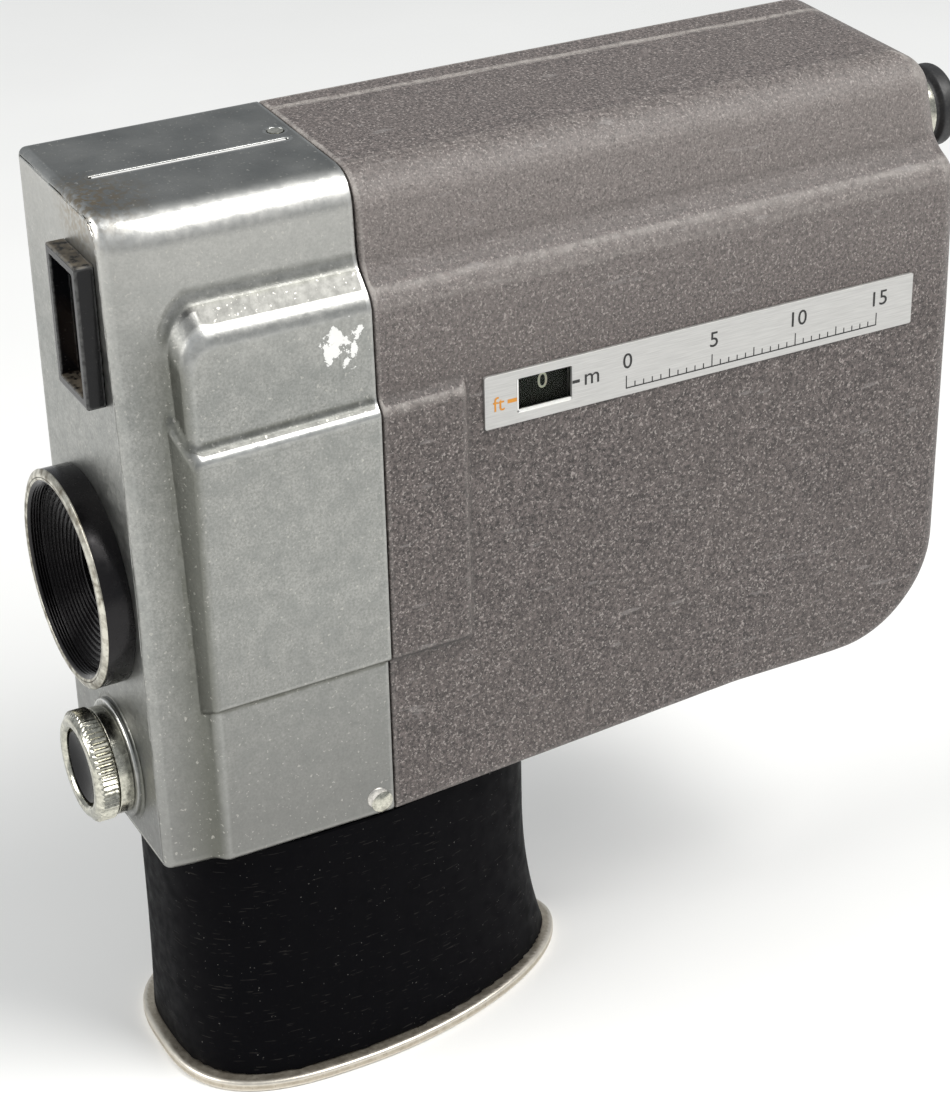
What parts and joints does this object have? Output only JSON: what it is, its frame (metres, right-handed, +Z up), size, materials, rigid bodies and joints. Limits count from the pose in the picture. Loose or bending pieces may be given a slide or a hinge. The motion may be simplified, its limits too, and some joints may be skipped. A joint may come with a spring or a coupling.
{
  "type": "cine camera",
  "caption": "Pistol-grip cine camera with satin front housing, dark wrinkle-painted cartridge body, release knob below the lens, rear eyepiece and battery grip.",
  "frame": {"origin": "centre of the bounding box in plan, on the underside of the grip base", "axes": "+Z up, the lens looks along -Y, the nameplate side faces +X"},
  "size_m": [0.041, 0.1448, 0.1431],
  "materials": {
    "satin_silver": "satin anodised die casting, fine speckle",
    "wrinkle_paint": "hammered wrinkle enamel, dark warm grey",
    "steel_plate": "plated sheet steel",
    "brushed_plate": "fine brushed, satin",
    "clear_window": "clear",
    "optical_glass": "coated optical glass",
    "gloss_black": "gloss",
    "matt_black": "matt",
    "anodised_black": "black anodised",
    "sensor": "sensor face",
    "motor_can": "drawn can",
    "chrome_plate": "polished",
    "grip_black": "smooth moulded, slight sheen, dusty",
    "champagne_metal": "champagne anodised, satin",
    "brass": "machined",
    "cell_wrap": "printed sleeve without lettering",
    "dial_black": "printed dial"
  },
  "bodies": {
    "camera_body": {"front_housing": "satin_silver", "front_plate": "satin_silver", "main_housing": "wrinkle_paint", "chassis": "steel_plate", "mechanism_plate": "steel_plate", "nameplate": "brushed_plate", "counter_window": "clear_window", "counter_pivot": "steel_plate", "viewfinder_bezel": "gloss_black", "finder_window": "optical_glass", "finder_tube": "matt_black", "eyepiece": "matt_black", "eye_lens": "optical_glass", "meter_cell": "sensor", "exposure_meter": "steel_plate", "lens_ring": "anodised_black", "lens_baffle": "anodised_black", "lens_cell": "anodised_black", "front_element": "optical_glass", "rear_element": "optical_glass", "film_gate": "steel_plate", "drive_motor": "motor_can", "release_collar": "chrome_plate", "release_switch": "matt_black", "housing_screws": "chrome_plate", "grip_shell": "grip_black", "grip_base": "champagne_metal", "base_screws": "chrome_plate", "tripod_bush": "brass", "battery_cells": "cell_wrap", "battery_contacts": "brass", "door_hinge_pin": "steel_plate", "cover_hinge_pin": "steel_plate"},
    "film_door": {"film_door": "wrinkle_paint"},
    "door_latch": {"door_latch": "chrome_plate"},
    "lock_ring": {"lock_ring": "chrome_plate"},
    "release_button": {"release_button": "gloss_black", "release_spring": "steel_plate"},
    "motor_rotor": {"motor_pinion": "brass"},
    "shutter": {"shutter_shaft": "steel_plate", "shutter_gear": "brass", "shutter_disc": "matt_black"},
    "film_claw": {"film_claw": "steel_plate"},
    "idler": {"idler_gear": "brass"},
    "layshaft": {"layshaft": "steel_plate"},
    "takeup": {"takeup_spindle": "steel_plate", "takeup_gear": "brass"},
    "counter": {"counter_disc": "dial_black"},
    "iris": {"iris_vane": "matt_black"},
    "battery_cover": {"battery_cover": "champagne_metal", "cover_contacts": "brass"},
    "cover_latch": {"cover_latch": "chrome_plate"}
  },
  "joints": [
    {"name": "door_hinge", "type": "hinge", "parent": "camera_body", "child": "film_door", "pos_m": [-0.01946, -0.02965, 0.0931], "axis": [0, 0, 1], "range_deg": [0, 110]},
    {"name": "latch_slide", "type": "slide", "parent": "camera_body", "child": "door_latch", "axis": [0, 0, 1], "range_m": [0, 0.004]},
    {"name": "lock_turn", "type": "hinge", "parent": "camera_body", "child": "lock_ring", "pos_m": [-0.0002, -0.07015, 0.0545], "axis": [0, 1, 0], "range_deg": [0, 60]},
    {"name": "release_press", "type": "slide", "parent": "camera_body", "child": "release_button", "axis": [0, 1, 0], "range_m": [0, 0.0018], "stiffness_N_per_m": 600, "springref_m": -0.001, "deforming": ["release_spring"]},
    {"name": "shutter_spin", "type": "hinge", "parent": "camera_body", "child": "shutter", "pos_m": [-0.0002, -0.03165, 0.0942], "axis": [0, 1, 0], "continuous": true},
    {"name": "motor_spin", "type": "hinge", "parent": "camera_body", "child": "motor_rotor", "pos_m": [-0.0002, -0.03165, 0.1032], "axis": [0, 1, 0], "continuous": true},
    {"name": "idler_spin", "type": "hinge", "parent": "camera_body", "child": "idler", "pos_m": [0.0068, -0.03165, 0.1032], "axis": [0, 1, 0], "continuous": true},
    {"name": "layshaft_spin", "type": "hinge", "parent": "camera_body", "child": "layshaft", "pos_m": [0.01193, -0.03165, 0.10833], "axis": [0, 1, 0], "continuous": true},
    {"name": "takeup_spin", "type": "hinge", "parent": "camera_body", "child": "takeup", "pos_m": [0.0114, -0.00265, 0.09288], "axis": [1, 0, 0], "continuous": true},
    {"name": "counter_turn", "type": "hinge", "parent": "camera_body", "child": "counter", "pos_m": [0.0149, -0.00405, 0.0944], "axis": [1, 0, 0], "continuous": true},
    {"name": "claw_stroke", "type": "slide", "parent": "camera_body", "child": "film_claw", "axis": [0, 0, -1], "range_m": [0, 0.00423]},
    {"name": "iris_swing", "type": "hinge", "parent": "camera_body", "child": "iris", "pos_m": [-0.0102, -0.03565, 0.1171], "axis": [0, -1, 0], "range_deg": [0, 10]},
    {"name": "cover_hinge", "type": "hinge", "parent": "camera_body", "child": "battery_cover", "pos_m": [0, -0.0522, 0.00075], "axis": [-1, 0, 0], "range_deg": [0, 100]},
    {"name": "cover_latch_turn", "type": "hinge", "parent": "battery_cover", "child": "cover_latch", "pos_m": [0, -0.02415, 0.0006], "axis": [0, 0, 1], "range_deg": [0, 90]}
  ],
  "couplings": [
    {"joint": "motor_spin", "follows": "shutter_spin", "ratio": -2},
    {"joint": "idler_spin", "follows": "shutter_spin", "ratio": 1.5},
    {"joint": "layshaft_spin", "follows": "shutter_spin", "ratio": -1.8462},
    {"joint": "takeup_spin", "follows": "shutter_spin", "ratio": 0.036923},
    {"joint": "counter_turn", "follows": "shutter_spin", "ratio": 0.000231}
  ]
}
